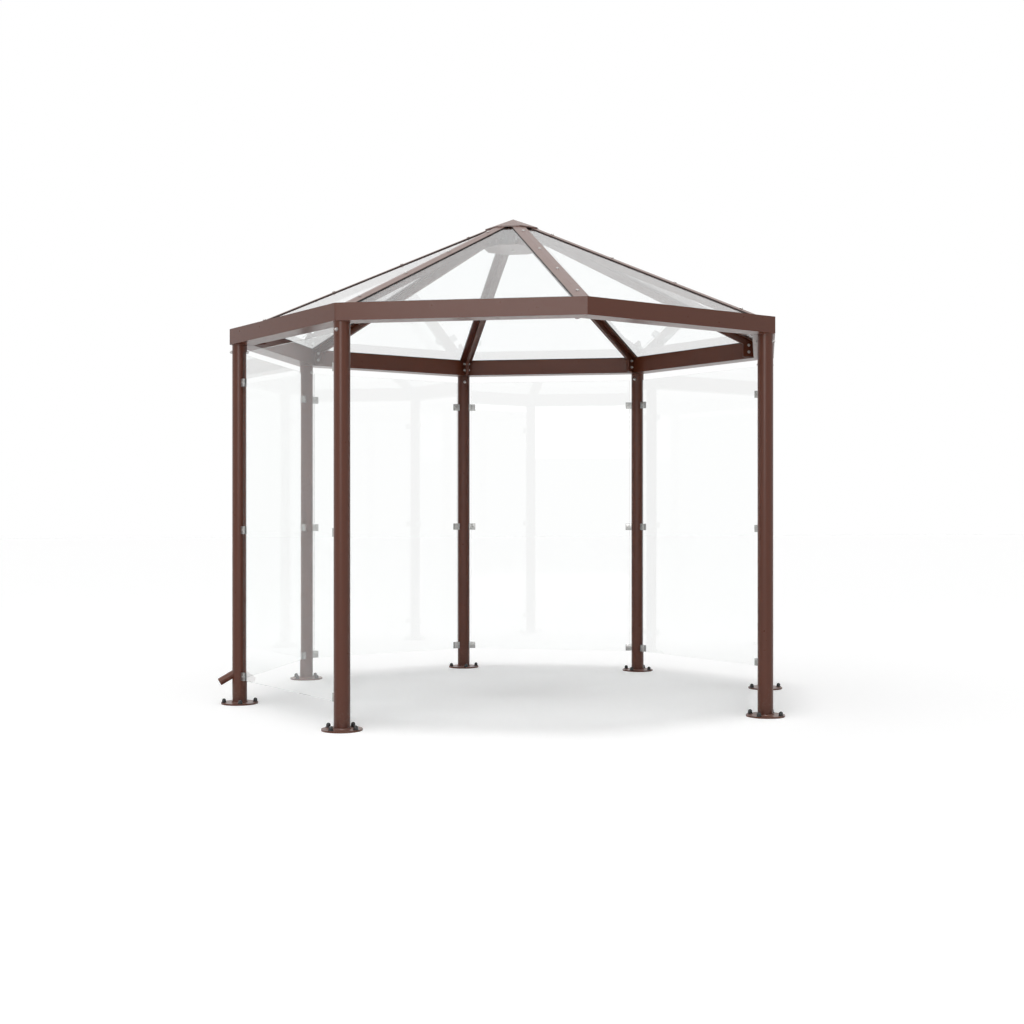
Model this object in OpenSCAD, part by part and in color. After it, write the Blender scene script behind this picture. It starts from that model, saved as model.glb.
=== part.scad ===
// Smoking shelter: an eight-cornered glazed pavilion on seven round posts.
// Millimetres, +Z up. The origin is the centre of the ring of posts, on the floor.
// The corner without a post, which opens two bays as the entrance, points along -Y.
// Corners are numbered anticlockwise seen from above: the open corner is 0 (and 8), posts stand on 1 to 7.
// Bay n runs from corner n - 1 to corner n, so bays 1 and 8 are the entrance.

/* [Plan and heights] */
// Radius of the circle that the post centres stand on
ring_r = 1800; // [1700:10:2000]
// Height of the gutter's underside above the floor
eave_z = 2303; // [2200:1:2500]
// Height at which the eight hip lines would meet
ridge_z = 3190; // [3100:1:3300]
// Angle of a hip line below level, in degrees
hip_deg = 23.74; // [22:0.01:25]

/* [Posts] */
// Outer diameter of a post tube
post_d = 94; // [76.1:0.1:114.3]
// Wall of a post tube
post_wall = 3.2; // [2.5:0.1:5]
// Diameter of the round base plate
plate_d = 234; // [220:1:260]
// Thickness of the base plate
plate_t = 10; // [8:1:15]
// Circle that the anchor bolt holes lie on
anchor_pcd = 198; // [180:1:200]
// Diameter of an anchor bolt hole
anchor_hole_d = 14; // [12:1:16]

/* [Gutter] */
// Width of the gutter's U section
gutter_w = 136.2; // [120:0.1:150]
// Height of the gutter's U section
gutter_h = 100; // [90:1:120]
// How far the gutter's outer face stands outside the line of the post centres
gutter_out = 57.7; // [50:0.1:70]
// Sheet thickness of the gutter
gutter_t = 4; // [3:0.5:5]
// Width of the lip turned in along the top of the outer wall
lip_w = 12; // [8:1:20]

/* [Roof] */
// Width of a hip cover strip and of a rafter's top flange
hip_w = 92; // [80:1:100]
// Thickness of a hip cover strip
cover_t = 3; // [2:0.5:4]
// Thickness of the glazing gasket above and below the roof glass
gasket_t = 3; // [2:0.5:4]
// Thickness of the roof glass
roof_glass_t = 8; // [6:1:10]
// Thickness of a rafter's top flange
flange_t = 6; // [5:1:8]
// Width of a rafter's web tube
web_w = 22; // [20:1:30]
// Depth of a rafter's web tube below the flange
web_h = 45; // [40:1:60]
// Wall of a rafter's web tube
web_wall = 3; // [2:0.5:4]
// Corner radius of the roof cap
cap_r = 190; // [180:1:210]
// Height of the roof cap's point above its rim
cap_rise = 74; // [50:1:80]

/* [Walls] */
// Thickness of a wall pane
wall_glass_t = 8; // [6:1:10]
// Height of a wall pane's lower edge above the floor
pane_z0 = 153; // [100:1:160]
// Height of a wall pane
pane_h = 2096; // [2000:1:2120]
// Gap from a post's centre to the edge of the pane beside it
pane_gap = 62; // [56:1:70]
// Size of a glass clamp along the pane, up the post and through the pane
clamp_l = 45; // [40:0.5:55]
clamp_h = 50; // [40:1:55]
clamp_t = 28; // [24:1:32]

/* [Rain spout] */
// Outer diameter of the spout
spout_d = 48.3; // [42:0.1:60]
// Wall of the spout
spout_wall = 2.6; // [2:0.1:4]
// Angle of the spout below level, in degrees
spout_deg = 30; // [20:1:45]
// Height at which the spout leaves the post
spout_z = 187; // [180:1:200]
// Length of the spout outside the post, along its axis
spout_l = 92; // [60:1:100]

/* [Hidden] */
CORNERS = 8;
POSTS = 7;
PANES = 6;
STEP = 360 / CORNERS;
HALF = STEP / 2;
SPOUT_POST = 6;

rim_z = eave_z + gutter_h;
pane_mid_r = ring_r * cos(HALF);
gutter_out_a = pane_mid_r + gutter_out;
gutter_in_a = gutter_out_a - gutter_w;
inner_corner_r = gutter_in_a / cos(HALF);

// The pitch of a roof pane, and how its plane falls to each side of a hip
slope = tan(hip_deg);
pitch_deg = atan(slope / cos(HALF));
side_n = sin(HALF) * sin(pitch_deg);
up_n = cos(HALF) * sin(pitch_deg) * sin(hip_deg) + cos(pitch_deg) * cos(hip_deg);
side_fall = side_n / up_n;

// Depths below the hip line, square to it
glass_top = (cover_t + gasket_t) / up_n;
flange_top = (cover_t + 2 * gasket_t + roof_glass_t) / up_n;
flange_low = flange_top + flange_t;

cover_r0 = 130;
cover_r1 = 1790;
flange_r0 = 130;
flange_r1 = 1735;
joint_gap = 0.5;
drain_d = 60;

// The plates that join a rafter to its corner and to the hub
fin_t = 10;
fin_fit = 0.2;
foot_r0 = inner_corner_r - 80;
foot_gap = 6;
foot_lift = 2;
bracket_inset = 3;
foot_z0 = eave_z + 4;
foot_z1 = rim_z - 1;
hub_z = 2980;
hub_plate_t = 6;
hub_plate_r = 200;
drum_d = 150;
drum_wall = 5;
drum_z1 = 3090;
fin_r1 = 190;
fin_z1 = 3066;
head_r0 = 134;
head_r1 = 205;
head_lift = 4;
head_z0 = hub_z + hub_plate_t + head_lift;

pane_cover = 10;
pane_top_a = 100;
pane_eave_a = gutter_in_a + 27;
rail_w = 25;
rail_h = 13;
rail_gap = 50;

clamp_mid = 961;
clamp_high = 1902;
clamp_z = [pane_z0 + clamp_h / 2, pane_z0 + clamp_mid, pane_z0 + clamp_high];
clamp_bite = 30.1;
clamp_fit = 0.2;

BROWN = [0.27, 0.17, 0.14];
GLASS = [0.80, 0.88, 0.88, 0.35];
STEEL = [0.62, 0.62, 0.62];
FACETS = 96;

function corner_deg(n) = STEP * n - 90;
function bay_deg(n) = corner_deg(n) - HALF;

// Height on a rafter's centre line at radius r, at a depth square to the hip line
function hip_z(r, depth) = ridge_z - slope * r - depth / cos(hip_deg);

// Places its children at a corner, with +X pointing outwards
module at_corner(n) { rotate([0, 0, corner_deg(n)]) children(); }

// Places its children in the middle of a bay, with +X pointing outwards
module in_bay(n) { rotate([0, 0, bay_deg(n)]) children(); }

// A bar along a hip from radius r0 to r1; the section's Y is square to the hip
module along_hip(r0, r1) {
    translate([0, 0, ridge_z])
        rotate([0, hip_deg, 0])
            translate([r0 / cos(hip_deg), 0, 0])
                rotate([90, 0, 90])
                    linear_extrude((r1 - r0) / cos(hip_deg)) children();
}

// Folded strip whose two wings lie on the roof planes, its ridge at the given depth
module folded_strip(w, depth, t) {
    fall = side_fall * w / 2;
    polygon([
        [-w / 2, -depth - fall], [0, -depth], [w / 2, -depth - fall],
        [w / 2, -depth - fall - t], [0, -depth - t], [-w / 2, -depth - fall - t]
    ]);
}

// An upright plate on the corner's centre line, from an outline of radius and height
module upright_plate(t, outline) {
    translate([0, t / 2, 0]) rotate([90, 0, 0]) linear_extrude(t) polygon(outline);
}

// A wedge of one bay, kept clear of its two mitre planes by a gap
module bay_wedge(gap, z0, z1) {
    tip = gap / sin(HALF);
    far = 2 * ring_r;
    side = (far - tip) * tan(HALF);
    translate([0, 0, z0]) linear_extrude(z1 - z0) polygon([[tip, 0], [far, -side], [far, side]]);
}

// A straight length of a section given as distance from the centre and height
module along_bay(section) {
    half_l = ring_r * sin(HALF) + gutter_w;
    translate([0, half_l, 0]) rotate([90, 0, 0]) linear_extrude(2 * half_l) polygon(section);
}

module post(n) {
    anchor_at = [for (i = [0:3]) 90 * i];
    color(BROWN) at_corner(n) translate([ring_r, 0, 0]) difference() {
        union() {
            cylinder(d = plate_d, h = plate_t, $fn = FACETS);
            cylinder(d = post_d, h = eave_z, $fn = FACETS);
        }
        translate([0, 0, plate_t])
            cylinder(d = post_d - 2 * post_wall, h = eave_z, $fn = FACETS);
        for (a = anchor_at) rotate([0, 0, a]) translate([anchor_pcd / 2, 0, -1])
            cylinder(d = anchor_hole_d, h = plate_t + 2, $fn = FACETS);
        if (n == SPOUT_POST) spout_line() cylinder(d = spout_d - 2 * spout_wall, h = post_d, $fn = FACETS);
    }
}

// Places a cylinder on the spout's axis, starting inside the post
module spout_line() {
    translate([post_d / 2, 0, spout_z])
        rotate([0, 90 + spout_deg, 0])
            translate([0, 0, -post_d / 2]) children();
}

module gutter(n) {
    in_a = gutter_in_a;
    out_a = gutter_out_a;
    t = gutter_t;
    section = [
        [in_a, eave_z], [out_a, eave_z], [out_a, rim_z], [out_a - lip_w, rim_z],
        [out_a - lip_w, rim_z - t], [out_a - t, rim_z - t], [out_a - t, eave_z + t],
        [in_a + t, eave_z + t], [in_a + t, rim_z], [in_a, rim_z]
    ];
    color(BROWN) difference() {
        in_bay(n) intersection() {
            along_bay(section);
            bay_wedge(joint_gap / 2, eave_z - 1, rim_z + 1);
        }
        at_corner(SPOUT_POST) translate([ring_r, 0, eave_z - 1])
            cylinder(d = drain_d, h = gutter_t + 2, $fn = FACETS);
    }
}

module rafter(n) {
    foot_r1 = inner_corner_r - foot_gap;
    web_top = flange_top + flange_t / 2;
    web_low = flange_low + web_h;
    outline = [
        [head_r0, hip_z(head_r0, web_top)], [foot_r1, hip_z(foot_r1, web_top)],
        [foot_r1, foot_z0 + foot_lift], [foot_r0, foot_z0 + foot_lift], [foot_r0, hip_z(foot_r0, web_low)],
        [head_r1, hip_z(head_r1, web_low)], [head_r1, head_z0], [head_r0, head_z0]
    ];
    bore_r0 = fin_r1;
    bore_r1 = foot_r0 + 1;
    bore_top = flange_low + web_wall;
    bore_low = web_low - web_wall;
    bore = [
        [bore_r0, hip_z(bore_r0, bore_top)], [bore_r1, hip_z(bore_r1, bore_top)],
        [bore_r1, hip_z(bore_r1, bore_low)], [bore_r0, hip_z(bore_r0, bore_low)]
    ];
    slot_w = fin_t + 2 * fin_fit;
    color(BROWN) at_corner(n) {
        along_hip(flange_r0, flange_r1) folded_strip(hip_w, flange_top, flange_t);
        difference() {
            upright_plate(web_w, outline);
            upright_plate(web_w - 2 * web_wall, bore);
            translate([foot_r0 - 1, -slot_w / 2, foot_z0]) cube([foot_r1, slot_w, gutter_h]);
            translate([0, -slot_w / 2, hub_z]) cube([fin_r1 + 1, slot_w, gutter_h]);
        }
    }
}

module roof_pane(n) {
    // Half the pane's width at distance s down its slope
    function half_w(s) = s * cos(pitch_deg) * tan(HALF) - pane_cover / cos(atan(cos(pitch_deg) * tan(HALF)));
    s0 = pane_top_a / cos(pitch_deg);
    s1 = pane_eave_a / cos(pitch_deg);
    color(GLASS) in_bay(n) translate([0, 0, ridge_z]) rotate([0, pitch_deg, 0])
        translate([0, 0, -cover_t - gasket_t - roof_glass_t]) linear_extrude(roof_glass_t)
            polygon([[s0, -half_w(s0)], [s1, -half_w(s1)], [s1, half_w(s1)], [s0, half_w(s0)]]);
}

module wall_pane(n) {
    half_w = ring_r * sin(HALF) - pane_gap;
    color(GLASS) in_bay(n + 1)
        translate([pane_mid_r - wall_glass_t / 2, -half_w, pane_z0])
            cube([wall_glass_t, 2 * half_w, pane_h]);
}

// One clamp, reaching along +Y from the centre of the post that carries it
module clamp() {
    reach = post_d / 2 + clamp_l;
    slot_w = wall_glass_t + 2 * clamp_fit;
    difference() {
        translate([-clamp_t / 2, post_d / 4, -clamp_h / 2]) cube([clamp_t, reach - post_d / 4, clamp_h]);
        translate([0, 0, -clamp_h]) cylinder(d = post_d, h = 2 * clamp_h, $fn = FACETS);
        translate([-slot_w / 2, reach - clamp_bite, -clamp_h]) cube([slot_w, 2 * clamp_bite, 2 * clamp_h]);
    }
}

module glass_clamps() {
    half_bay = ring_r * sin(HALF);
    color(STEEL) for (n = [1:PANES]) in_bay(n + 1) for (z = clamp_z) for (side = [0, 1])
        mirror([0, side, 0]) translate([pane_mid_r, -half_bay, z]) clamp();
}

module corner_brackets() {
    start_r = foot_r0 + bracket_inset;
    end_r = inner_corner_r - fin_t / 2 * tan(HALF);
    color(BROWN) for (n = [1:CORNERS]) at_corner(n)
        upright_plate(fin_t, [[start_r, foot_z0], [end_r, foot_z0], [end_r, foot_z1], [start_r, foot_z1]]);
}

module hip_covers() {
    color(BROWN) for (n = [1:CORNERS]) at_corner(n)
        along_hip(cover_r0, cover_r1) folded_strip(hip_w, 0, cover_t);
}

module eave_rails() {
    a = gutter_in_a;
    fall = rail_w * tan(pitch_deg);
    section = [[a, rim_z], [a + rail_w, rim_z], [a + rail_w, rim_z + rail_h - fall], [a, rim_z + rail_h]];
    color(BROWN) for (n = [1:CORNERS]) in_bay(n) intersection() {
        along_bay(section);
        bay_wedge(rail_gap, rim_z - 1, rim_z + 2 * rail_h);
    }
}

module hub_drum() {
    color(BROWN) translate([0, 0, hub_z + hub_plate_t]) difference() {
        union() {
            cylinder(d = drum_d, h = drum_z1 - hub_z - hub_plate_t, $fn = FACETS);
            for (n = [1:CORNERS]) at_corner(n)
                translate([drum_d / 4, -fin_t / 2, 0])
                    cube([fin_r1 - drum_d / 4, fin_t, fin_z1 - hub_z - hub_plate_t]);
        }
        translate([0, 0, -1]) cylinder(d = drum_d - 2 * drum_wall, h = drum_z1, $fn = FACETS);
    }
}

module hub_plate() {
    color(BROWN) translate([0, 0, hub_z]) cylinder(r = hub_plate_r, h = hub_plate_t, $fn = CORNERS);
}

module roof_cap() {
    sheet = 3;
    skirt = 8;
    lift = 1;
    rim = ridge_z - slope * cap_r + lift + skirt;
    color(BROWN) translate([0, 0, rim]) difference() {
        union() {
            cylinder(r1 = cap_r, r2 = 0, h = cap_rise, $fn = CORNERS);
            translate([0, 0, -skirt]) cylinder(r = cap_r, h = skirt, $fn = CORNERS);
        }
        cylinder(r1 = cap_r - sheet, r2 = 0, h = cap_rise - sheet, $fn = CORNERS);
        translate([0, 0, -skirt - 1]) cylinder(r = cap_r - sheet, h = skirt + 1.01, $fn = CORNERS);
    }
}

module rain_spout() {
    color(BROWN) at_corner(SPOUT_POST) translate([ring_r, 0, 0]) difference() {
        spout_line() cylinder(d = spout_d, h = post_d / 2 + spout_l, $fn = FACETS);
        spout_line() translate([0, 0, -1])
            cylinder(d = spout_d - 2 * spout_wall, h = post_d / 2 + spout_l + 2, $fn = FACETS);
        cylinder(d = post_d, h = eave_z, $fn = FACETS);
    }
}

for (n = [1:POSTS]) post(n);
for (n = [1:CORNERS]) gutter(n);
for (n = [1:CORNERS]) rafter(n);
for (n = [1:CORNERS]) roof_pane(n);
for (n = [1:PANES]) wall_pane(n);
corner_brackets();
hip_covers();
eave_rails();
glass_clamps();
hub_drum();
hub_plate();
roof_cap();
rain_spout();
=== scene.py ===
"""Looks of the eight-cornered smoking shelter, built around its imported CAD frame.

Metres, +Z up. Corner n points along 45 * n - 90 degrees; corner 8 is the open one, towards -Y.
Bay n lies between corners n - 1 and n, so bays 1 and 8 are the entrance.
"""
import math

import bmesh
import bpy
from mathutils import Matrix, Vector

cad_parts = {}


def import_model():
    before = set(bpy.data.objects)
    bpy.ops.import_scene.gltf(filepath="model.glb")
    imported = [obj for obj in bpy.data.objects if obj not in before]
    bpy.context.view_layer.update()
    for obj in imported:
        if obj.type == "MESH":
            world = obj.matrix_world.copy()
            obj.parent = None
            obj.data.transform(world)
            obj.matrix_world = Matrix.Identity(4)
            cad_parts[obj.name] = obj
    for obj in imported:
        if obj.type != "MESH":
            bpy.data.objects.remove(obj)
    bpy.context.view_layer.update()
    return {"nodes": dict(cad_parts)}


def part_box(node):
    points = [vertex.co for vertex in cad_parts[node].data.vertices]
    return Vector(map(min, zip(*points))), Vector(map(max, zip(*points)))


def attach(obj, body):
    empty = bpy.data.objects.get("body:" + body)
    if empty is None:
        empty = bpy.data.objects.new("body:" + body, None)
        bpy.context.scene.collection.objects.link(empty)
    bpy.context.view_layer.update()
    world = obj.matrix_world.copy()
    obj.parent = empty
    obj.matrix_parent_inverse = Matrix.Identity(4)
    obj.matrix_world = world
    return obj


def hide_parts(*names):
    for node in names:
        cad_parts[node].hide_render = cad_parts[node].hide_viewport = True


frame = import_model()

# ---------------------------------------------------------------- sizes from the frame
CORNERS = 8
ALL_CORNERS = range(1, CORNERS + 1)
POSTS = range(1, CORNERS)
PANE_BAYS = range(2, CORNERS)
STEP = math.tau / CORNERS
HALF = STEP / 2

POST_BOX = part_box("post_2")
RING_R = (POST_BOX[0].x + POST_BOX[1].x) / 2
EAVE_Z = POST_BOX[1].z
GUTTER_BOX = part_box("gutter_2")
RIM_Z = GUTTER_BOX[1].z
OUTER_R = GUTTER_BOX[1].x
INNER_R = GUTTER_BOX[0].x / math.cos(STEP)
INNER_A = INNER_R * math.cos(HALF)
PANE_LOW, PANE_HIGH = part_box("wall_pane_1")[0].z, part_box("wall_pane_1")[1].z
COVER_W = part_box("rafter_2")[1].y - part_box("rafter_2")[0].y
HUB_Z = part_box("hub_plate")[0].z

# ---------------------------------------------------------------- sizes that the frame's boxes don't give
POST_R = 0.047
PLATE_T = 0.010
ANCHORS = 4
ANCHOR_R = 0.099
HIP = math.radians(23.74)
RIDGE_Z = 3.190
WEB_W = 0.022
COVER_T = 0.003
COVER_ENDS = (0.130, 1.790)
GASKET_T = 0.003

ROOF_GLASS_T = 0.008
ROOF_GLASS_ARRIS = 0.0012
ROOF_GLASS_TOP_A = 0.100
ROOF_GLASS_INSET = 0.010
ROOF_GLASS_PAST_GUTTER = 0.027
ROOF_GLASS_END_R = 1.735

WALL_GLASS_T = 0.008
WALL_GLASS_ARRIS = 0.0022
PANE_GAP = 0.062

CLAMP_L, CLAMP_H, CLAMP_T = 0.045, 0.050, 0.028
CLAMP_RISES = (CLAMP_H / 2, 0.961, 1.902)
CLAMP_BITE = 0.030

HEAD_BOLT_DROP = 0.048
BRACKET_BOLT_DROPS = (0.014, 0.062)
BRACKET_BOLT_INSET = 0.040
HUB_BOLT_R = 0.165
HUB_BOLT_RISE = 0.047
COVER_SCREWS = 4
FIRST_SCREW_R, LAST_SCREW_R = 0.307, 1.644

# Pitch of a roof pane, how square it stands to a hip and how it falls away beside one
SLOPE = math.tan(HIP)
PITCH = math.atan(SLOPE / math.cos(HALF))
UP_N = math.cos(HALF) * math.sin(PITCH) * math.sin(HIP) + math.cos(PITCH) * math.cos(HIP)
SIDE_FALL = math.sin(HALF) * math.sin(PITCH) / UP_N


# ---------------------------------------------------------------- places
def corner(n):
    """Turns +X to corner n."""
    return Matrix.Rotation(STEP * n - math.pi / 2, 4, "Z")


def bay(n):
    """Turns +X to the middle of bay n."""
    return Matrix.Rotation(STEP * n - math.pi / 2 - HALF, 4, "Z")


def move(x, y, z):
    """A shift in metres."""
    return Matrix.Translation((x, y, z))


def turn(degrees, axis):
    """A turn about one axis."""
    return Matrix.Rotation(math.radians(degrees), 4, axis)


def down_hip(n, radius=0.0):
    """A place on corner n's hip line: +X runs down the hip, +Z stands square to it."""
    height = RIDGE_Z - SLOPE * radius
    return corner(n) @ move(radius, 0, height) @ Matrix.Rotation(HIP, 4, "Y")


# ---------------------------------------------------------------- node helpers
def put(tree, value, socket):
    """Links a socket's value, or sets a plain one."""
    if isinstance(value, bpy.types.NodeSocket):
        tree.links.new(value, socket)
    else:
        socket.default_value = value


def object_point(tree):
    """The surface point in the piece's own metres."""
    return tree.nodes.new("ShaderNodeTexCoord").outputs["Object"]


def noise(tree, vector, scale, detail=2.0, roughness=0.5):
    """Noise from 0 to 1 over a vector."""
    node = tree.nodes.new("ShaderNodeTexNoise")
    node.inputs["Detail"].default_value = detail
    node.inputs["Roughness"].default_value = roughness
    tree.links.new(vector, node.inputs["Vector"])
    put(tree, scale, node.inputs["Scale"])
    return node.outputs["Fac"]


def maths(tree, operation, first, second=0.0, clamp=False):
    """One Math node."""
    node = tree.nodes.new("ShaderNodeMath")
    node.operation = operation
    node.use_clamp = clamp
    put(tree, first, node.inputs[0])
    put(tree, second, node.inputs[1])
    return node.outputs[0]


def remap(tree, value, low, high, to_low, to_high):
    """Stretches a value's span (low, high) to (to_low, to_high), and clamps it there."""
    node = tree.nodes.new("ShaderNodeMapRange")
    put(tree, value, node.inputs["Value"])
    spans = {"From Min": low, "From Max": high, "To Min": to_low, "To Max": to_high}
    for label, number in spans.items():
        put(tree, number, node.inputs[label])
    return node.outputs["Result"]


def bump(tree, height, strength, distance):
    """A normal that is raised by a height."""
    node = tree.nodes.new("ShaderNodeBump")
    node.inputs["Strength"].default_value = strength
    node.inputs["Distance"].default_value = distance
    tree.links.new(height, node.inputs["Height"])
    return node.outputs["Normal"]


# The Mix node's colour sockets share their names with its number and vector sockets
MIX_FIRST, MIX_SECOND, MIX_RESULT = 6, 7, 2


def tint(tree, first, second, share):
    """Mixes two colours; each is a socket or a plain RGBA."""
    node = tree.nodes.new("ShaderNodeMix")
    node.data_type = "RGBA"
    put(tree, share, node.inputs["Factor"])
    put(tree, first, node.inputs[MIX_FIRST])
    put(tree, second, node.inputs[MIX_SECOND])
    return node.outputs[MIX_RESULT]


def shade(tree, colour, factor):
    """A plain colour made lighter or darker by a factor that changes over the surface."""
    node = tree.nodes.new("ShaderNodeVectorMath")
    node.operation = "SCALE"
    node.inputs[0].default_value = colour[:3]
    tree.links.new(factor, node.inputs["Scale"])
    return node.outputs[0]


# ---------------------------------------------------------------- shader node groups
def new_group(name, inputs, outputs):
    """An empty shader group with number inputs, each with its usual value, and number outputs."""
    group = bpy.data.node_groups.new(name, "ShaderNodeTree")
    for label, usual in inputs.items():
        socket = group.interface.new_socket(label, in_out="INPUT", socket_type="NodeSocketFloat")
        socket.default_value = usual
    for label in outputs:
        group.interface.new_socket(label, in_out="OUTPUT", socket_type="NodeSocketFloat")
    given = group.nodes.new("NodeGroupInput").outputs
    return group, given, group.nodes.new("NodeGroupOutput").inputs


def orange_peel_group():
    """The fine dimpled skin of baked powder coat, with the film's faint cloudiness."""
    group, given, result = new_group(
        "orange_peel",
        {"Dimple Scale": 420.0, "Dimple Depth": 1.0, "Cloud Scale": 2.2, "Cloud Strength": 0.1},
        ("Height", "Cloud", "Gloss Shift"))
    point = object_point(group)
    dimples = noise(group, point, given["Dimple Scale"])
    height = maths(group, "MULTIPLY", dimples, given["Dimple Depth"])
    cloud = maths(group, "SUBTRACT", noise(group, point, given["Cloud Scale"], 4.0, 0.6), 0.5)
    tone = maths(group, "MULTIPLY", cloud, given["Cloud Strength"])
    fine = maths(group, "SUBTRACT", noise(group, point, 38.0, 3.0), 0.5)
    group.links.new(height, result["Height"])
    group.links.new(maths(group, "ADD", tone, 1.0), result["Cloud"])
    group.links.new(maths(group, "MULTIPLY", fine, 0.12), result["Gloss Shift"])
    return group


def settled_dust_group():
    """A mask of dry dust on what faces up, broken into patches."""
    group, given, result = new_group(
        "settled_dust", {"Amount": 0.3, "Patch Scale": 14.0}, ("Mask",))
    split = group.nodes.new("ShaderNodeSeparateXYZ")
    group.links.new(group.nodes.new("ShaderNodeNewGeometry").outputs["Normal"], split.inputs[0])
    facing = remap(group, split.outputs["Z"], 0.55, 1.0, 0.0, 1.0)
    patch = noise(group, object_point(group), given["Patch Scale"], 5.0, 0.65)
    mask = maths(group, "MULTIPLY", facing, remap(group, patch, 0.38, 0.68, 0.15, 1.0))
    group.links.new(maths(group, "MULTIPLY", mask, given["Amount"], True), result["Mask"])
    return group


def foot_splash_group():
    """A mask of dried splashes that fades out above the floor."""
    group, given, result = new_group("foot_splash", {"Height": 0.35, "Amount": 0.3}, ("Mask",))
    point = object_point(group)
    split = group.nodes.new("ShaderNodeSeparateXYZ")
    group.links.new(point, split.inputs[0])
    near = remap(group, split.outputs["Z"], 0.0, given["Height"], 1.0, 0.0)
    spots = remap(group, noise(group, point, 60.0, 6.0, 0.7), 0.50, 0.66, 0.0, 1.0)
    mask = maths(group, "MULTIPLY", maths(group, "MULTIPLY", near, near), spots)
    group.links.new(maths(group, "MULTIPLY", mask, given["Amount"], True), result["Mask"])
    return group


def brushed_grain_group():
    """Fine upright scratches of a ground metal, as height and as a change of roughness."""
    group, given, result = new_group(
        "brushed_grain", {"Grain Scale": 900.0, "Strength": 0.12}, ("Height", "Roughness Shift"))
    stretch = group.nodes.new("ShaderNodeMapping")
    stretch.inputs["Scale"].default_value = (1.0, 1.0, 0.03)
    group.links.new(object_point(group), stretch.inputs["Vector"])
    grain = noise(group, stretch.outputs[0], given["Grain Scale"], 3.0)
    shift = maths(group, "MULTIPLY", maths(group, "SUBTRACT", grain, 0.5), given["Strength"])
    group.links.new(grain, result["Height"])
    group.links.new(shift, result["Roughness Shift"])
    return group


ORANGE_PEEL = orange_peel_group()
SETTLED_DUST = settled_dust_group()
FOOT_SPLASH = foot_splash_group()
BRUSHED_GRAIN = brushed_grain_group()


# ---------------------------------------------------------------- materials
DUST = (0.42, 0.38, 0.34, 1.0)
BROWN = (0.108, 0.029, 0.013, 1.0)
EDGE_DARK = (0.010, 0.030, 0.025, 1.0)
EDGE_GREEN = (0.030, 0.065, 0.055, 1.0)
GLASS_IOR = 1.5


def new_material(name):
    """A material with a Principled shader, and its node tree."""
    material = bpy.data.materials.new(name)
    material.use_nodes = True
    tree = material.node_tree
    return material, tree, tree.nodes["Principled BSDF"]


def use_group(tree, group, **values):
    """Places a group in a material; underscores in a value's name stand for spaces."""
    node = tree.nodes.new("ShaderNodeGroup")
    node.node_tree = group
    for label, number in values.items():
        node.inputs[label.replace("_", " ")].default_value = number
    return node.outputs


def mix_shaders(tree, share, first, second):
    """Ends a material in a mix of two shaders."""
    mix = tree.nodes.new("ShaderNodeMixShader")
    tree.links.new(share, mix.inputs[0])
    tree.links.new(first, mix.inputs[1])
    tree.links.new(second, mix.inputs[2])
    tree.links.new(mix.outputs[0], tree.nodes["Material Output"].inputs["Surface"])


def powder_coat(name, dust=0.12, splash=0.0, specular=0.40):
    """Satin brown powder coat on steel, with settled dust and, low down, dried splashes."""
    material, tree, shader = new_material(name)
    peel = use_group(tree, ORANGE_PEEL, Dimple_Scale=420.0, Cloud_Strength=0.08)
    dusty = use_group(tree, SETTLED_DUST, Amount=dust)["Mask"]
    film = tint(tree, shade(tree, BROWN, peel["Cloud"]), DUST, dusty)
    if splash:
        film = tint(tree, film, DUST, use_group(tree, FOOT_SPLASH, Amount=splash)["Mask"])
    tree.links.new(film, shader.inputs["Base Color"])
    clean = maths(tree, "ADD", peel["Gloss Shift"], 0.30)
    rough = maths(tree, "ADD", clean, maths(tree, "MULTIPLY", dusty, 0.5), True)
    tree.links.new(rough, shader.inputs["Roughness"])
    tree.links.new(bump(tree, peel["Height"], 0.10, 0.0004), shader.inputs["Normal"])
    shader.inputs["Specular IOR Level"].default_value = specular
    return material


def satin_steel(name, colour, roughness):
    """Ground stainless steel."""
    material, tree, shader = new_material(name)
    grain = use_group(tree, BRUSHED_GRAIN, Grain_Scale=900.0, Strength=0.16)
    shift = grain["Roughness Shift"]
    tone = maths(tree, "ADD", maths(tree, "MULTIPLY", shift, 0.8), 1.0)
    tree.links.new(shade(tree, colour, tone), shader.inputs["Base Color"])
    tree.links.new(maths(tree, "ADD", shift, roughness, True), shader.inputs["Roughness"])
    tree.links.new(bump(tree, grain["Height"], 0.08, 0.0002), shader.inputs["Normal"])
    shader.inputs["Metallic"].default_value = 1.0
    return material


def moulded_black(name, colour, roughness, dimple_scale):
    """Black rubber or plastic with a moulded grain and a little dust."""
    material, tree, shader = new_material(name)
    peel = use_group(tree, ORANGE_PEEL, Dimple_Scale=dimple_scale, Cloud_Strength=0.5)
    dusty = use_group(tree, SETTLED_DUST, Amount=0.10, Patch_Scale=90.0)["Mask"]
    film = tint(tree, shade(tree, colour, peel["Cloud"]), DUST, dusty)
    tree.links.new(film, shader.inputs["Base Color"])
    rough = maths(tree, "ADD", peel["Gloss Shift"], roughness, True)
    tree.links.new(rough, shader.inputs["Roughness"])
    tree.links.new(bump(tree, peel["Height"], 0.15, 0.0004), shader.inputs["Normal"])
    return material


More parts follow.
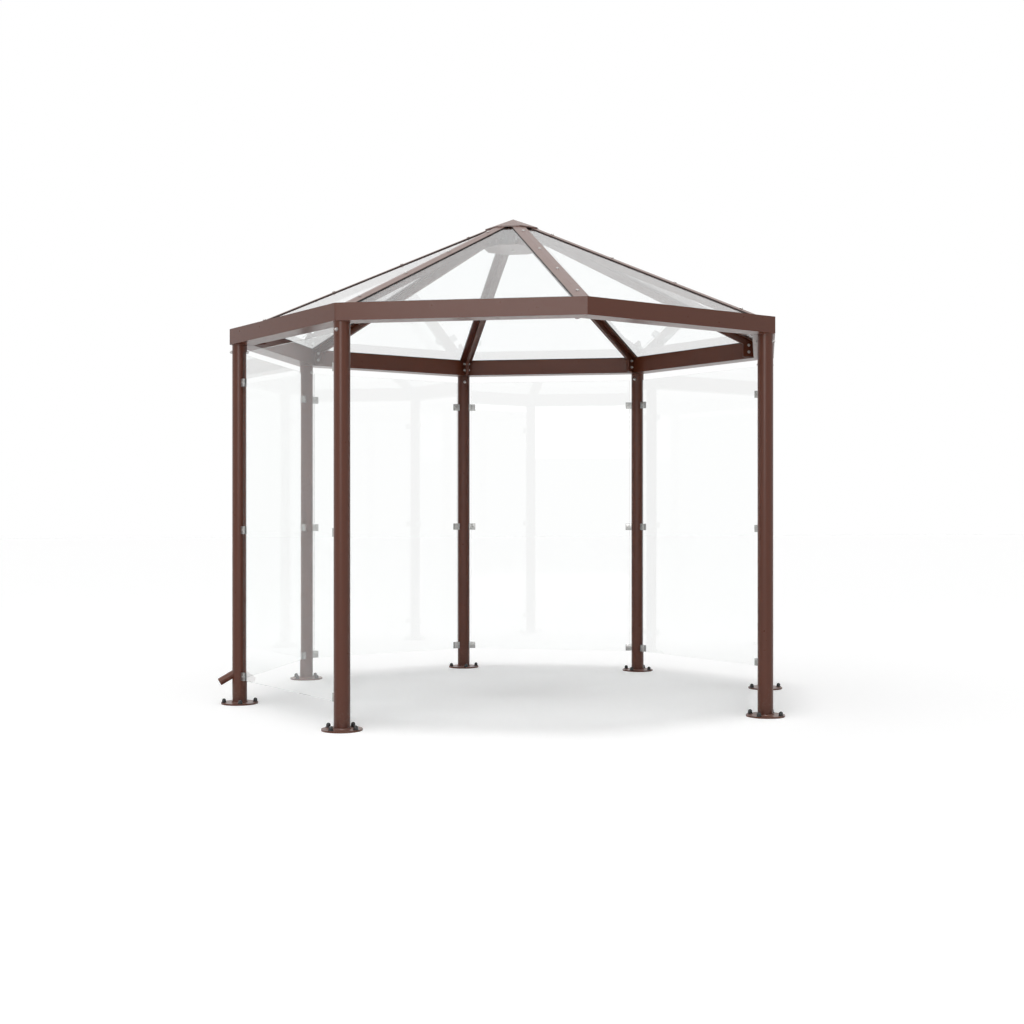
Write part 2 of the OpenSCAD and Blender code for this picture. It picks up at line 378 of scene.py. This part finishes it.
def clear_glass(name, colour, shadow):
    """Clear float glass that lets the lamps through in the colour of its shadow."""
    material, tree, shader = new_material(name)
    shader.inputs["Base Color"].default_value = colour
    shader.inputs["Roughness"].default_value = 0.0
    shader.inputs["IOR"].default_value = GLASS_IOR
    shader.inputs["Transmission Weight"].default_value = 1.0
    through = tree.nodes.new("ShaderNodeBsdfTransparent")
    through.inputs["Color"].default_value = shadow
    path = tree.nodes.new("ShaderNodeLightPath")
    mix_shaders(tree, path.outputs["Is Shadow Ray"], shader.outputs[0], through.outputs[0])
    return material


def polished_edge(name):
    """The polished edge of a pane, which shows the green of the glass seen end on."""
    material, tree, shader = new_material(name)
    bands = noise(tree, object_point(tree), 9.0, 4.0)
    colour = tint(tree, EDGE_DARK, EDGE_GREEN, remap(tree, bands, 0.35, 0.65, 0.0, 1.0))
    tree.links.new(colour, shader.inputs["Base Color"])
    tree.links.new(remap(tree, bands, 0.3, 0.7, 0.08, 0.2), shader.inputs["Roughness"])
    shader.inputs["IOR"].default_value = GLASS_IOR
    return material


POST_PAINT = powder_coat("post_powder_coat", splash=0.08)
FRAME_PAINT = powder_coat("frame_powder_coat")
# The roof coat's larger dust amount is partly real settled dust and partly a painted sheen: it lightens
# the upward faces of the hip covers and cap in place of the bright sky they reflect.
ROOF_PAINT_DUST_AND_SHEEN = powder_coat("roof_powder_coat_dust_and_sheen", dust=0.20, specular=0.85)
STAINLESS = satin_steel("satin_stainless", (0.42, 0.42, 0.41), 0.28)
BOLT_STEEL = satin_steel("bolt_stainless", (0.44, 0.42, 0.41), 0.30)
GASKET = moulded_black("glazing_rubber", (0.018, 0.017, 0.017), 0.55, 700.0)
CAP_PLASTIC = moulded_black("anchor_cap_plastic", (0.012, 0.012, 0.013), 0.22, 500.0)
WALL_GLASS = clear_glass("clear_wall_glass", (0.985, 0.993, 0.990, 1.0), (0.96, 0.97, 0.97, 1.0))
ROOF_GLASS = clear_glass("clear_roof_glass", (0.975, 0.988, 0.988, 1.0), (0.62, 0.63, 0.63, 1.0))
GLASS_EDGE = polished_edge("polished_glass_edge")


# ---------------------------------------------------------------- mesh helpers
def lathe(bm, profile, place, steps=24):
    """Turns a profile of (radius, height) about the Z of a place. A radius of 0 is a point."""
    rings = []
    for radius, height in profile:
        angles = [math.tau * i / steps for i in range(steps if radius else 1)]
        rings.append([bm.verts.new(place @ Vector((radius * math.cos(a), radius * math.sin(a), height)))
                      for a in angles])
    for lower, upper in zip(rings, rings[1:]):
        for i in range(steps):
            around = (lower[i % len(lower)], lower[(i + 1) % len(lower)],
                      upper[(i + 1) % len(upper)], upper[i % len(upper)])
            bm.faces.new(list(dict.fromkeys(around)))


def dome(radius, height, base, steps=5):
    """Profile of a dome of a given radius and height that stands on a base height."""
    angles = [math.pi / 2 * i / steps for i in range(steps)]
    return [(radius * math.cos(a), base + height * math.sin(a)) for a in angles] + [(0, base + height)]


def bar(bm, near, far):
    """A closed bar between two end outlines, each a list of points. Returns its faces."""
    near, far = ([bm.verts.new(point) for point in end] for end in (near, far))
    faces = [bm.faces.new(near[::-1]), bm.faces.new(far)]
    for i in range(len(near)):
        j = (i + 1) % len(near)
        faces.append(bm.faces.new((near[i], near[j], far[j], far[i])))
    return faces


def prism(bm, outline, low, high, place, bevel=0.0):
    """A prism over an outline in X and Y, with all its edges rounded by the bevel."""
    ends = ([place @ Vector((x, y, z)) for x, y in outline] for z in (low, high))
    faces = bar(bm, *ends)
    if bevel:
        edges = list(dict.fromkeys(edge for face in faces for edge in face.edges))
        bmesh.ops.bevel(bm, geom=edges, offset=bevel, segments=2, profile=0.6, affect="EDGES")


def block(bm, x, y, z, place, bevel=0.0):
    """A box from three (low, high) spans."""
    outline = [(x[0], y[0]), (x[1], y[0]), (x[1], y[1]), (x[0], y[1])]
    prism(bm, outline, z[0], z[1], place, bevel)


def show(thing):
    """Puts an object in the scene."""
    bpy.context.scene.collection.objects.link(thing)
    return thing


def add_piece(name, bm, finish, stands_for=(), sharp=25.0):
    """Makes a piece from a mesh, gives it its finish and lets it ride on the shelter."""
    bmesh.ops.recalc_face_normals(bm, faces=bm.faces)
    mesh = bpy.data.meshes.new(name)
    bm.to_mesh(mesh)
    bm.free()
    if sharp:
        mesh.set_sharp_from_angle(angle=math.radians(sharp))
    mesh.materials.append(finish)
    piece = show(bpy.data.objects.new(name, mesh))
    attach(piece, "root")
    if stands_for:
        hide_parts(*stands_for)
    return piece


# ---------------------------------------------------------------- fasteners
NUT_FLATS, NUT_HEIGHT = 0.017, 0.016
NUT_WASHER_R, NUT_WASHER_T = 0.011, 0.002
NUT_SINK = 0.0005


def washer_profile(radius, thickness):
    """Profile of a flat washer with a chamfered rim."""
    edge = thickness * 0.3
    return [(0, 0), (radius, 0), (radius, thickness - edge), (radius - edge, thickness), (0, thickness)]


def cap_nut(bm, place):
    """A domed cap nut on a washer, its axis along the place's Z."""
    hex_r = NUT_FLATS / 2 / math.cos(math.pi / 6)
    chamfered_r = hex_r - 0.001
    hex_low, hex_high, hex_top = 0.0027, 0.0075, 0.0085
    dome_r, dome_z = NUT_FLATS / 2 * 0.96, 0.0095
    lathe(bm, washer_profile(NUT_WASHER_R, NUT_WASHER_T), place)
    lathe(bm, [(0, NUT_WASHER_T), (chamfered_r, NUT_WASHER_T), (hex_r, hex_low), (hex_r, hex_high),
               (chamfered_r, hex_top), (0, hex_top)], place, 6)
    lathe(bm, [(0, hex_top - 0.0001), (dome_r, hex_top - 0.0001)]
          + dome(dome_r, NUT_HEIGHT - dome_z, dome_z), place)


def dome_screw(bm, place, radius=0.0085, height=0.006):
    """A domed screw head on a sealing washer, with a round socket."""
    seal_t, skirt, socket_depth = 0.0018, 0.0025, 0.0022
    socket = radius * 0.42
    rim = height * 0.93 + seal_t
    lathe(bm, washer_profile(radius * 1.35, seal_t), place)
    crown = [point for point in dome(radius, height, skirt)[:-1] if point[0] > socket]
    floor_z = rim - socket_depth
    lathe(bm, [(0, seal_t), (radius, seal_t)] + crown
          + [(socket, rim), (socket, floor_z), (0, floor_z - 0.0008)], place)


def post_head_bolts():
    """One through bolt near each post's head, with a cap nut at both ends."""
    bm = bmesh.new()
    reach = POST_R - NUT_SINK
    for n in POSTS:
        for side in (-1, 1):
            cap_nut(bm, corner(n) @ move(RING_R + side * reach, 0, EAVE_Z - HEAD_BOLT_DROP)
                    @ turn(90 * side, "Y"))
    add_piece("post_head_bolts", bm, BOLT_STEEL)


def bracket_bolts():
    """Two bolts through each rafter's foot and its corner bracket."""
    bm = bmesh.new()
    for n in ALL_CORNERS:
        for drop in BRACKET_BOLT_DROPS:
            for side in (-1, 1):
                cap_nut(bm, corner(n) @ move(INNER_R - BRACKET_BOLT_INSET, side * WEB_W / 2, RIM_Z - drop)
                        @ turn(-90 * side, "X"))
    add_piece("bracket_bolts", bm, BOLT_STEEL)


def hub_bolts():
    """One bolt through each rafter's head and the hub's radial plate, and one under the hub."""
    bm = bmesh.new()
    for n in ALL_CORNERS:
        for side in (-1, 1):
            cap_nut(bm, corner(n) @ move(HUB_BOLT_R, side * WEB_W / 2, HUB_Z + HUB_BOLT_RISE)
                    @ turn(-90 * side, "X"))
    head_r, head_h = 0.011, 0.012
    lathe(bm, [(0, -head_h), (head_r - 0.0015, -head_h), (head_r, -head_h + 0.002), (head_r, 0), (0, 0)],
          move(0, 0, HUB_Z), 6)
    add_piece("hub_bolts", bm, BOLT_STEEL)


def hip_cover_screws():
    """Domed screws down each hip cover."""
    bm = bmesh.new()
    spacing = (LAST_SCREW_R - FIRST_SCREW_R) / (COVER_SCREWS - 1)
    for n in ALL_CORNERS:
        for i in range(COVER_SCREWS):
            dome_screw(bm, down_hip(n, FIRST_SCREW_R + spacing * i))
    add_piece("hip_cover_screws", bm, BOLT_STEEL)


def anchor_caps():
    """Black domed caps over the anchor nuts of each base plate."""
    bm = bmesh.new()
    skirt = [(0, 0), (0.0165, 0), (0.0165, 0.002), (0.0135, 0.0035), (0.0128, 0.014)]
    profile = skirt + dome(0.0125, 0.0115, 0.0145)
    for n in POSTS:
        for i in range(ANCHORS):
            place = corner(n) @ move(RING_R, 0, PLATE_T) @ turn(360 / ANCHORS * i, "Z")
            lathe(bm, profile, place @ move(ANCHOR_R, 0, 0))
    add_piece("anchor_caps", bm, CAP_PLASTIC)


# ---------------------------------------------------------------- welds and seams
WELD_RIPPLES = 110
WELD_STEPS_ACROSS = 6
FOOT_WELD_W, HEAD_WELD_W = 0.006, 0.004
WELD_SINK_IN, WELD_SINK_DOWN = 0.0003, 0.0002


def weld_bead(bm, place, width):
    """A rippled fillet weld round a post where it meets a plate, its root on the place's XY."""
    rings = []
    for i in range(WELD_RIPPLES * 2):
        angle = math.pi * i / WELD_RIPPLES
        swell = width * (1.0 + 0.10 * math.cos(WELD_RIPPLES * angle))
        ring = []
        for k in range(WELD_STEPS_ACROSS + 1):
            t = math.pi / 2 * k / WELD_STEPS_ACROSS
            out = swell * (1 - math.sin(t) * 0.55 - (1 - math.cos(t)) * 0.45)
            up = swell * (1 - math.cos(t) * 0.55 - (1 - math.sin(t)) * 0.45)
            r = POST_R - WELD_SINK_IN + max(out, 0.0)
            point = Vector((r * math.cos(angle), r * math.sin(angle), max(up, 0.0)))
            ring.append(bm.verts.new(place @ point))
        rings.append(ring)
    for a, b in zip(rings, rings[1:] + rings[:1]):
        for k in range(WELD_STEPS_ACROSS):
            bm.faces.new((a[k], b[k], b[k + 1], a[k + 1]))


def post_welds():
    """The welds where each post stands on its base plate and where its head meets the gutter."""
    feet, heads = bmesh.new(), bmesh.new()
    for n in POSTS:
        post = corner(n) @ move(RING_R, 0, 0)
        weld_bead(feet, post @ move(0, 0, PLATE_T - WELD_SINK_DOWN), FOOT_WELD_W)
        weld_bead(heads, post @ move(0, 0, EAVE_Z) @ turn(180, "X"), HEAD_WELD_W)
    for name, bm in (("foot_welds", feet), ("head_welds", heads)):
        add_piece(name, bm, POST_PAINT, sharp=60.0)


def mitre_seams():
    """The gutter's sealed mitre joints: a thin bead over each seam outside and underneath."""
    bm = bmesh.new()
    half_w, proud, arris = 0.0018, 0.0007, 0.0003
    across = (-half_w, half_w)
    for n in ALL_CORNERS:
        block(bm, (OUTER_R - 0.002, OUTER_R + proud), across, (EAVE_Z, RIM_Z), corner(n), arris)
        block(bm, (INNER_R, OUTER_R - 0.003), across, (EAVE_Z - proud, EAVE_Z + 0.001), corner(n), arris)
    add_piece("mitre_seams", bm, FRAME_PAINT)


# ---------------------------------------------------------------- glass
def add_pane(name, bm, across, finish):
    """Makes a flat-faced pane of glass; the faces not square to `across` are its polished edges."""
    bm.normal_update()
    for face in bm.faces:
        if abs(face.normal.dot(across)) < 0.5:
            face.material_index = 1
    pane = add_piece(f"{name}_glass", bm, finish, (name,), sharp=0)
    pane.data.materials.append(GLASS_EDGE)


def wall_panes():
    """Six upright panes with ground arrises, midway between the posts."""
    half_t = WALL_GLASS_T / 2
    mid_a = RING_R * math.cos(HALF)
    half_w = RING_R * math.sin(HALF) - PANE_GAP
    for number, n in enumerate(PANE_BAYS, 1):
        bm = bmesh.new()
        block(bm, (mid_a - half_t, mid_a + half_t), (-half_w, half_w), (PANE_LOW, PANE_HIGH),
              bay(n), WALL_GLASS_ARRIS)
        add_pane(f"wall_pane_{number}", bm, bay(n) @ Vector((1, 0, 0)), WALL_GLASS)


def roof_panes():
    """Eight tapered panes that lie under the hip covers and reach past the gutter's inner wall."""
    fall = math.cos(PITCH)
    taper = fall * math.tan(HALF)
    inset = ROOF_GLASS_INSET / math.cos(math.atan(taper))
    top_s, eave_s = ROOF_GLASS_TOP_A / fall, (INNER_A + ROOF_GLASS_PAST_GUTTER) / fall
    top_w, eave_w = top_s * taper - inset, eave_s * taper - inset
    outline = [(top_s, -top_w), (eave_s, -eave_w), (eave_s, eave_w), (top_s, top_w)]
    top = -COVER_T - GASKET_T
    for n in ALL_CORNERS:
        place = bay(n) @ move(0, 0, RIDGE_Z) @ Matrix.Rotation(PITCH, 4, "Y")
        bm = bmesh.new()
        prism(bm, outline, top - ROOF_GLASS_T, top, place, ROOF_GLASS_ARRIS)
        add_pane(f"roof_pane_{n}", bm, place.to_3x3() @ Vector((0, 0, 1)), ROOF_GLASS)


def hip_gaskets():
    """Rubber strips above and below the roof glass, along both edges of each hip cover."""
    bm = bmesh.new()
    clearance = 0.0002
    inner, outer = COVER_W / 2 - 0.014, COVER_W / 2 + 0.0015
    start, cover_end, glass_end = (r / math.cos(HIP) for r in COVER_ENDS + (ROOF_GLASS_END_R,))
    over_glass = COVER_T / UP_N
    under_glass = (COVER_T + GASKET_T + ROOF_GLASS_T) / UP_N
    for n in ALL_CORNERS:
        place = down_hip(n)
        for side in (-1, 1):
            for depth, length in ((over_glass, cover_end), (under_glass, glass_end)):
                tops = {y: -depth - SIDE_FALL * y for y in (inner, outer)}
                low = clearance - GASKET_T / UP_N
                ring = [(inner, tops[inner] - clearance), (outer, tops[outer] - clearance),
                        (outer, tops[outer] + low), (inner, tops[inner] + low)]
                bar(bm, *([place @ Vector((x, side * y, z)) for y, z in ring] for x in (start, length)))
    add_piece("hip_gaskets", bm, GASKET)


def eave_gaskets():
    """The rubber bed between each eave rail and the roof glass."""
    bm = bmesh.new()
    inner, outer = INNER_A - 0.001, INNER_A + 0.024
    under_glass = RIDGE_Z - (COVER_T + GASKET_T + ROOF_GLASS_T) / math.cos(PITCH)
    end_gap, high, low = 0.052, -0.0003, -0.0042
    section = [(a, under_glass - math.tan(PITCH) * a + rise)
               for a, rise in ((inner, high), (outer, high), (outer, low), (inner, low))]
    for n in ALL_CORNERS:
        bar(bm, *([bay(n) @ Vector((a, side * (a * math.tan(HALF) - end_gap), z)) for a, z in section]
                  for side in (-1, 1)))
    add_piece("eave_gaskets", bm, GASKET)


def glass_clamps():
    """Two-jaw clamps: a body on the post, rubber pads on the glass and a screw in each jaw."""
    jaws, pads, screws = bmesh.new(), bmesh.new(), bmesh.new()
    mid_a = RING_R * math.cos(HALF)
    half_bay = RING_R * math.sin(HALF)
    half_glass, half_t = WALL_GLASS_T / 2, CLAMP_T / 2
    pad_t, pad_inset = 0.0016, 0.001
    tip = POST_R + CLAMP_L
    throat = tip - CLAMP_BITE
    upright = (-CLAMP_H / 2, CLAMP_H / 2)
    pad_upright = (-CLAMP_H / 2 + pad_inset, CLAMP_H / 2 - pad_inset)
    for n in PANE_BAYS:
        for rise in CLAMP_RISES:
            for side in (-1, 1):
                place = (bay(n) @ move(mid_a, side * half_bay, PANE_LOW + rise)
                         @ turn(0 if side < 0 else 180, "Z"))
                block(jaws, (-half_t, half_t), (POST_R - 0.0025, throat), upright, place, 0.0012)
                for jaw in (-1, 1):
                    jaw_x = sorted((jaw * (half_glass + 0.0015), jaw * half_t))
                    pad_x = sorted((jaw * half_glass, jaw * (half_glass + pad_t)))
                    block(jaws, jaw_x, (throat - 0.004, tip), upright, place, 0.0022)
                    block(pads, pad_x, (throat - 0.001, tip - 0.0008), pad_upright, place)
                    head = place @ move(jaw * half_t, tip - 0.018, 0) @ turn(90 * jaw, "Y")
                    dome_screw(screws, head, 0.0045, 0.0026)
    add_piece("clamp_jaws", jaws, STAINLESS, ("glass_clamps",))
    add_piece("clamp_pads", pads, GASKET)
    add_piece("clamp_screws", screws, BOLT_STEEL)


# ---------------------------------------------------------------- CAD nodes that stay
FINISHES = {"post": POST_PAINT, "rain": POST_PAINT, "gutter": FRAME_PAINT, "rafter": FRAME_PAINT,
            "corner": FRAME_PAINT, "eave": FRAME_PAINT, "hub": FRAME_PAINT, "hip": ROOF_PAINT_DUST_AND_SHEEN,
            "roof": ROOF_PAINT_DUST_AND_SHEEN, "wall": WALL_GLASS, "glass": STAINLESS}


def paint_cad_nodes():
    """Gives every CAD node the finish that the first word of its name stands for."""
    for name, node in frame["nodes"].items():
        finish = ROOF_GLASS if name.startswith("roof_pane") else FINISHES[name.split("_")[0]]
        node.data.materials.clear()
        node.data.materials.append(finish)


# ---------------------------------------------------------------- stage, lamps, camera
FLOOR_HALF = 60.0
FLOOR_LIFT = 0.290
WORLD_LIGHT = 0.06


def white_for_sight(tree):
    """1 for camera, mirror and glass rays, 0 for the rays that light the shelter."""
    path = tree.nodes.new("ShaderNodeLightPath").outputs
    seen = maths(tree, "MAXIMUM", path["Is Camera Ray"], path["Is Glossy Ray"])
    seen = maths(tree, "MAXIMUM", seen, path["Is Transmission Ray"])
    return maths(tree, "MULTIPLY", seen, maths(tree, "LESS_THAN", path["Diffuse Depth"], 0.5))


def floor():
    """A large pale floor that keeps the shelter's shadow and can be seen through from below."""
    mesh = bpy.data.meshes.new("studio_floor")
    corners = [(x * FLOOR_HALF, y * FLOOR_HALF, 0) for x, y in ((-1, -1), (1, -1), (1, 1), (-1, 1))]
    mesh.from_pydata(corners, [], [(0, 1, 2, 3)])
    material, tree, shader = new_material("floor_white")
    shader.inputs["Base Color"].default_value = (0.80, 0.80, 0.80, 1.0)
    shader.inputs["Roughness"].default_value = 1.0
    shader.inputs["Specular IOR Level"].default_value = 0.0
    shader.inputs["Emission Color"].default_value = (1.0, 1.0, 1.0, 1.0)
    glow = maths(tree, "MULTIPLY", white_for_sight(tree), FLOOR_LIFT)
    tree.links.new(glow, shader.inputs["Emission Strength"])
    under = tree.nodes.new("ShaderNodeNewGeometry").outputs["Backfacing"]
    clear = tree.nodes.new("ShaderNodeBsdfTransparent")
    mix_shaders(tree, under, shader.outputs[0], clear.outputs[0])
    mesh.materials.append(material)
    show(bpy.data.objects.new("studio_floor", mesh))


def world():
    """White to the eye, and a plain low level of light on the shelter."""
    scene_world = bpy.data.worlds.new("studio")
    bpy.context.scene.world = scene_world
    scene_world.use_nodes = True
    tree = scene_world.node_tree
    back = tree.nodes["Background"]
    back.inputs["Color"].default_value = (1.0, 1.0, 1.0, 1.0)
    strength = remap(tree, white_for_sight(tree), 0.0, 1.0, WORLD_LIGHT, 1.0)
    tree.links.new(strength, back.inputs["Strength"])


def softbox(name, place, target, size, power):
    """A square lamp that faces a target and isn't seen itself."""
    data = bpy.data.lights.new(name, "AREA")
    data.shape = "SQUARE"
    data.size = size
    data.energy = power
    lamp = show(bpy.data.objects.new(name, data))
    lamp.location = place
    lamp.rotation_euler = (Vector(target) - Vector(place)).to_track_quat("-Z", "Y").to_euler()
    lamp.visible_camera = False
    lamp.visible_transmission = False


def distant_light(name, towards, spread, strength):
    """A wide light that comes from a direction, so that the whole floor is lit evenly."""
    data = bpy.data.lights.new(name, "SUN")
    data.angle = math.radians(spread)
    data.energy = strength
    lamp = show(bpy.data.objects.new(name, data))
    lamp.rotation_euler = Vector(towards).to_track_quat("Z", "Y").to_euler()
    lamp.visible_transmission = False


def camera():
    """A level camera at eye height in front, a little to the left."""
    data = bpy.data.cameras.new("front_camera")
    data.sensor_width = 36.0
    data.lens = 50.34
    data.shift_x = -0.0011
    data.shift_y = -0.0006
    eye = show(bpy.data.objects.new("front_camera", data))
    eye.location = (-2.089, -9.360, 1.2338)
    eye.rotation_euler = Vector((0.2178, 0.9760, 0.0)).to_track_quat("-Z", "Y").to_euler()
    bpy.context.scene.camera = eye


# ---------------------------------------------------------------- build
camera()
world()
floor()
distant_light("overhead_daylight", (-0.04, -0.06, 1.0), 13.0, 1.10)
distant_light("sky_glow", (-0.15, -0.10, 1.0), 100.0, 1.50)
softbox("front_left_softbox", (-7.0, -13.0, 5.2), (0.0, 0.0, 1.5), 6.0, 400.0)

paint_cad_nodes()
post_welds()
anchor_caps()
post_head_bolts()
mitre_seams()
bracket_bolts()
hub_bolts()
hip_cover_screws()
hip_gaskets()
eave_gaskets()
wall_panes()
roof_panes()
glass_clamps()

bpy.context.scene.view_settings.view_transform = "Standard"
